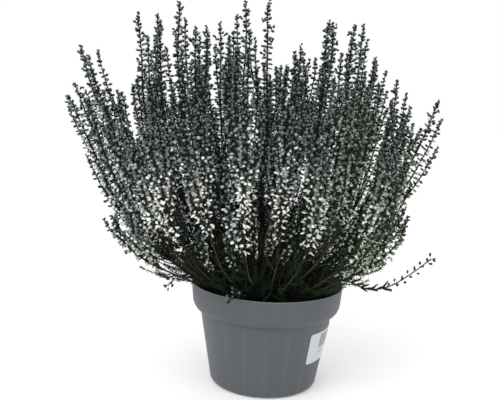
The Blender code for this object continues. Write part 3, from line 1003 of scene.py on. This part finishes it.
def grow_inside(growth):
    """Leafy branches that rise from the crown between the sprays and close the middle of the plant."""
    sizes, rng = growth.sizes, growth.rng
    for number in range(sizes.inner_branches):
        turn = number * GOLDEN_ANGLE
        far = math.sqrt((number + 0.5) / sizes.inner_branches)
        outward = np.array([1.3 * math.cos(turn), math.sin(turn), 0.0])
        root = np.array([CROWN_MIDDLE, 0, SOIL_HIGH.z - STEM_DEPTH * 0.5]) + outward * 24 * MM * far
        rise = rng.uniform(78, 132) * MM * (1.1 - 0.3 * far)
        u = np.linspace(0, 1, 40)[:, None]
        line = root + outward * 58 * MM * far * (1 - (1 - u) ** 1.7) + np.array([0, 0, rise]) * u
        branch = growth.wandering(Route(line), 1.5 * MM)
        growth.stem(branch, np.linspace(0.8, 0.3, 16) * MM, 4, 0.2)
        growth.leaves(branch, 8 * MM, branch.length, 1.2, 0.15)
        growth.twigs(branch, 14 * MM, branch.length * 0.8, 9)
        growth.buds(branch, branch.length * 0.55, 0.9)


def arc(centre, radius, start, end, steps):
    """Points (radius, height) along an arc, with angles in degrees."""
    angles = np.radians(np.linspace(start, end, steps + 1))
    return [(centre[0] + radius * math.cos(a), centre[1] + radius * math.sin(a)) for a in angles]


def shoulder(sizes, inset, steps):
    """The quarter ellipse that brings the collar's side in to the wall."""
    width = sizes.rim_radius - sizes.collar_taper - sizes.collar_foot
    height = sizes.height - sizes.collar_side - sizes.collar_bottom
    return [
        (sizes.collar_foot - inset + width * math.cos(a), sizes.collar_bottom + height * (1 - math.sin(a)))
        for a in np.linspace(0, math.pi / 2, steps + 1)
    ]


def wall_radius(sizes, height):
    """The outer radius of the tapered wall."""
    share = (height - sizes.corner) / (sizes.collar_bottom - sizes.corner)
    return sizes.base_radius + (sizes.collar_foot - sizes.base_radius) * share


def pot_profile(sizes):
    """(radius, height) from the middle of the floor up the inside, over the rim and down to the hub."""
    floor = sizes.recess + sizes.wall
    bend = floor + sizes.corner
    lip = sizes.wall / 2
    bottom = sizes.base_radius - sizes.corner
    inside = [(0.0, floor), (bottom, floor), (wall_radius(sizes, bend) - sizes.wall, bend)]
    inside += list(reversed(shoulder(sizes, sizes.wall, 10)))
    rim = arc((sizes.rim_radius - lip, sizes.height - lip), lip, 180, 0, 6)
    corner = arc((bottom, sizes.corner), sizes.corner, 0, -90, 8)
    foot = bottom - sizes.foot_width
    base = [
        (foot, 0.0), (foot - sizes.recess, sizes.recess), (sizes.hub + sizes.recess, sizes.recess),
        (sizes.hub, 0.0), (0.0, 0.0),
    ]
    return inside + rim + shoulder(sizes, 0.0, 14) + corner + base


def turned(name, profile, steps, material):
    """A solid of revolution about the pot's axis."""
    bm = bmesh.new()
    verts = [bm.verts.new((radius, 0, height)) for radius, height in profile]
    for first, second in zip(verts, verts[1:]):
        bm.edges.new((first, second))
    item = object_of(bm, name, material)
    screw = item.modifiers.new("Turn", "SCREW")
    screw.steps = screw.render_steps = steps
    screw.use_merge_vertices = True
    screw.merge_threshold = 0.00001
    return item


def settle(item):
    """Apply an object's modifiers."""
    graph = bpy.context.evaluated_depsgraph_get()
    mesh = bpy.data.meshes.new_from_object(item.evaluated_get(graph))
    item.modifiers.clear()
    item.data = mesh


class HEATHER_OT_pot(bpy.types.Operator):
    """Make the plastic pot with its collar, its round bottom edge and its drain holes"""

    bl_idname = "heather.pot"
    bl_label = "Pot"

    def execute(self, context):
        settings = context.scene.heather
        sizes = settings.pot
        material = pot_finish(settings.colours, sizes)
        pot = turned("pot_shell", pot_profile(sizes), steps=192, material=material)
        bm = bmesh.new()
        for i in range(sizes.drain_count):
            turn = Matrix.Rotation(math.tau * (i + 0.5) / sizes.drain_count, 4, "Z")
            place = turn @ Matrix.Translation((sizes.drain_circle, 0, sizes.recess))
            bmesh.ops.create_cone(
                bm, cap_ends=True, segments=32, radius1=sizes.drain_radius, radius2=sizes.drain_radius,
                depth=4 * sizes.wall, matrix=place,
            )
        cutter = object_of(bm, "drain_cutter", material)
        boolean = pot.modifiers.new("Drain", "BOOLEAN")
        boolean.object = cutter
        settle(pot)
        bpy.data.objects.remove(cutter)
        pot.data.shade_smooth()
        pot.data.set_sharp_from_angle(angle=math.radians(35))
        dress(pot, "pot_plastic", "pot")
        return {"FINISHED"}


class HEATHER_OT_soil(bpy.types.Operator):
    """Fill the pot with peat: an uneven top and loose crumbs on it"""

    bl_idname = "heather.soil"
    bl_label = "Soil"

    def execute(self, context):
        settings = context.scene.heather
        top_radius = SOIL_HIGH.x - 0.2 * MM
        self.fill(settings, top_radius)
        self.scatter(settings, top_radius)
        return {"FINISHED"}

    def fill(self, settings, top_radius):
        """The body of the soil, just inside the pot, with lumps on its top that fade out at the wall."""
        sizes = settings.pot
        floor = sizes.recess + sizes.wall + 0.3 * MM
        rings = [(top_radius * share, sizes.soil_top) for share in np.linspace(0, 1, 44)]
        rings += [
            (SOIL_HIGH.x - 1.2 * MM, sizes.collar_bottom + 11 * MM),
            (sizes.collar_foot - sizes.wall - 0.8 * MM, sizes.collar_bottom - 1 * MM),
            (wall_radius(sizes, sizes.corner) - sizes.wall - 0.3 * MM, floor + sizes.corner),
            (sizes.base_radius - sizes.corner - 0.4 * MM, floor), (0.0, floor),
        ]
        material = soil_finish(settings.colours, "soil", 1.0)
        soil = turned("soil_fill", list(reversed(rings)), steps=128, material=material)
        settle(soil)
        for vert in soil.data.vertices:
            if vert.co.z > sizes.soil_top - 0.1 * MM:
                flat = Vector((vert.co.x, vert.co.y, 0))
                lump = noise.noise(flat * 95) * 1.6 + noise.noise(flat * 380) * 0.9
                edge = min(1.0, (top_radius - flat.length) / (4 * MM))
                vert.co.z += (lump * MM - 0.6 * MM) * max(edge, 0.15)
        bm = bmesh.new()
        bm.from_mesh(soil.data)
        bmesh.ops.recalc_face_normals(bm, faces=bm.faces)
        bm.to_mesh(soil.data)
        bm.free()
        soil.data.shade_smooth()
        dress(soil, "soil", "soil")

    def scatter(self, settings, reach):
        """Loose crumbs on the soil."""
        rng = np.random.default_rng(settings.growth.seed)
        bm = bmesh.new()
        for _ in range(settings.pot.crumbs):
            far = reach * math.sqrt(rng.uniform(0, 0.94))
            turn = rng.uniform(0, math.tau)
            size = rng.uniform(0.5, 1.7) * MM
            place = Vector((far * math.cos(turn), far * math.sin(turn), settings.pot.soil_top - 0.3 * size))
            spin = Matrix.Rotation(rng.uniform(0, math.tau), 4, Vector(rng.normal(size=3)).normalized())
            squash = Matrix.Diagonal((size, size * rng.uniform(0.6, 1.0), size * rng.uniform(0.4, 0.8), 1))
            made = bmesh.ops.create_icosphere(
                bm, subdivisions=1, radius=1.0, matrix=Matrix.Translation(place) @ spin @ squash)
            for vert in made["verts"]:
                vert.co += Vector(rng.normal(0, 0.13 * size, 3))
        crumbs = object_of(bm, "soil_crumbs", soil_finish(settings.colours, "soil_crumbs", 1.6))
        crumbs.data.shade_smooth()
        dress(crumbs, "soil")


class HEATHER_OT_label(bpy.types.Operator):
    """Bend the blank sticker round the tapered wall"""

    bl_idname = "heather.label"
    bl_label = "Label"

    def execute(self, context):
        settings = context.scene.heather
        sizes = settings.label
        strips = 48
        outline = []
        for x, y, start in ((1, 1, 0), (-1, 1, 90), (-1, -1, 180), (1, -1, 270)):
            centre = (x * (sizes.arc / 2 - sizes.corner), y * (sizes.height / 2 - sizes.corner))
            outline += arc(centre, sizes.corner, start, start + 90, 5)
        bm = bmesh.new()
        bm.faces.new([bm.verts.new((x, y, 0)) for x, y in outline])
        bm.normal_update()
        for i in range(1, strips):
            cut = -sizes.arc / 2 + sizes.arc * i / strips
            everything = bm.verts[:] + bm.edges[:] + bm.faces[:]
            bmesh.ops.bisect_plane(bm, geom=everything, plane_co=(cut, 0, 0), plane_no=(1, 0, 0), dist=1e-7)
        for vert in bm.verts:
            height = sizes.middle + vert.co.y
            radius = wall_radius(settings.pot, height) + 0.1 * MM
            angle = sizes.turn + vert.co.x / wall_radius(settings.pot, sizes.middle)
            vert.co = (radius * math.cos(angle), radius * math.sin(angle), height)
        label = object_of(bm, "label_sticker", label_finish(settings.colours, sizes))
        solid = label.modifiers.new("Thickness", "SOLIDIFY")
        solid.thickness = sizes.thickness
        solid.offset = 1.0
        settle(label)
        dress(label, "label_film", "label")
        return {"FINISHED"}


class HEATHER_OT_sprays(bpy.types.Operator):
    """Grow every spray along the line of its solid, greener to the right and low down"""

    bl_idname = "heather.sprays"
    bl_label = "Sprays"

    def execute(self, context):
        settings = context.scene.heather
        shades = [
            growth_finish(f"heather_{i}", settings.colours, i / GREEN_STEPS) for i in range(GREEN_STEPS + 1)
        ]
        for number, node in enumerate(SPRAY_NODES):
            growth = Growth(settings.growth, SPRAY_SEED + number)
            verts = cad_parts[node].data.vertices
            tip = np.array(max((vert.co for vert in verts), key=lambda co: co.z))
            green = GREEN_SHARE + (tip[0] / GREEN_REACH) * GREEN_GAIN - (tip[2] - GREEN_HEIGHT) / GREEN_DROP
            green += growth.rng.normal(0, GREEN_CHANCE)
            grow_spray(growth, spray_route(tip))
            shade = shades[int(np.clip(round(green * GREEN_STEPS), 0, GREEN_STEPS))]
            growth.make_piece(node.replace("spray", "heather_spray"), shade, "buds", node)
        return {"FINISHED"}


class HEATHER_OT_shoots(bpy.types.Operator):
    """Grow the low shoots that lean over the rim, the undergrowth on the soil and the inner branches"""

    bl_idname = "heather.shoots"
    bl_label = "Low shoots"

    def execute(self, context):
        settings = context.scene.heather
        material = growth_finish("heather_low", settings.colours, 0.2)
        for number, corners in enumerate(SHOOT_ROUTES, 1):
            growth = Growth(settings.growth, SHOOT_SEED + number)
            grow_shoot(growth, shoot_route(corners))
            growth.make_piece(f"heather_low_shoot_{number}", material, "leaves", f"low_shoot_{number}")
        for name, seed, grow in (
            ("heather_undergrowth", UNDERGROWTH_SEED, grow_undergrowth),
            ("heather_inner_branches", INNER_SEED, grow_inside),
        ):
            growth = Growth(settings.growth, seed)
            grow(growth)
            growth.make_piece(name, material, "leaves")
        return {"FINISHED"}


class HEATHER_OT_stage(bpy.types.Operator):
    """Set up the pale floor, the soft light and the camera"""

    bl_idname = "heather.stage"
    bl_label = "Stage"

    def execute(self, context):
        scene = context.scene
        stage = scene.heather.stage
        bm = bmesh.new()
        bmesh.ops.create_circle(bm, cap_ends=True, segments=96, radius=FLOOR_RADIUS)
        floor = object_of(bm, "studio_floor", floor_finish(scene.heather.colours))
        floor.location.z = -0.2 * MM
        world = bpy.data.worlds.new("studio")
        world.use_nodes = True
        surround = world.node_tree.nodes["Background"]
        surround.inputs["Color"].default_value = (1.0, 1.0, 1.0, 1.0)
        surround.inputs["Strength"].default_value = stage.sky
        scene.world = world
        self.light("key_light", KEY_PLACE, KEY_SIZE, stage.key)
        self.light("fill_light", FILL_PLACE, FILL_SIZE, stage.fill)
        data = bpy.data.cameras.new("camera")
        data.lens = stage.lens
        data.sensor_width = 36.0
        camera = bpy.data.objects.new("camera", data)
        scene.collection.objects.link(camera)
        tilt = Matrix.Rotation(math.pi / 2 + stage.pitch, 4, "X") @ Matrix.Rotation(stage.roll, 4, "Z")
        camera.matrix_world = Matrix.Translation(stage.camera) @ tilt
        scene.camera = camera
        scene.view_settings.view_transform = "Standard"
        return {"FINISHED"}

    def light(self, name, place, size, power):
        """A square soft light aimed at the plant's middle."""
        data = bpy.data.lights.new(name, "AREA")
        data.size = size
        data.energy = power
        lamp = bpy.data.objects.new(name, data)
        bpy.context.scene.collection.objects.link(lamp)
        aim = Vector(LIGHT_AIM) - Vector(place)
        lamp.matrix_world = Matrix.Translation(place) @ aim.to_track_quat("-Z", "Y").to_matrix().to_4x4()


class HEATHER_PT_panel(bpy.types.Panel):
    """Lists the makers of the pieces and their sizes"""

    bl_label = "Potted heather"
    bl_idname = "HEATHER_PT_panel"
    bl_space_type = "VIEW_3D"
    bl_region_type = "UI"
    bl_category = "Heather"

    def draw(self, context):
        layout = self.layout
        settings = context.scene.heather
        for operator in OPERATORS:
            layout.operator(operator.bl_idname)
        for group in (settings.pot, settings.label, settings.growth, settings.colours, settings.stage):
            box = layout.box()
            for name in group.__annotations__:
                box.prop(group, name)


GROUPS = (PotSizes, LabelSizes, GrowthSizes, Colours, StageSizes, HeatherSettings)
OPERATORS = (
    HEATHER_OT_stage, HEATHER_OT_pot, HEATHER_OT_soil, HEATHER_OT_label, HEATHER_OT_sprays,
    HEATHER_OT_shoots,
)


def register():
    for item in (*GROUPS, *OPERATORS, HEATHER_PT_panel):
        bpy.utils.register_class(item)
    bpy.types.Scene.heather = PointerProperty(type=HeatherSettings)


def unregister():
    del bpy.types.Scene.heather
    for item in reversed((*GROUPS, *OPERATORS, HEATHER_PT_panel)):
        bpy.utils.unregister_class(item)


def main():
    register()
    bpy.ops.heather.stage()
    bpy.ops.heather.pot()
    bpy.ops.heather.soil()
    bpy.ops.heather.label()
    bpy.ops.heather.sprays()
    bpy.ops.heather.shoots()


if __name__ == "__main__":
    main()
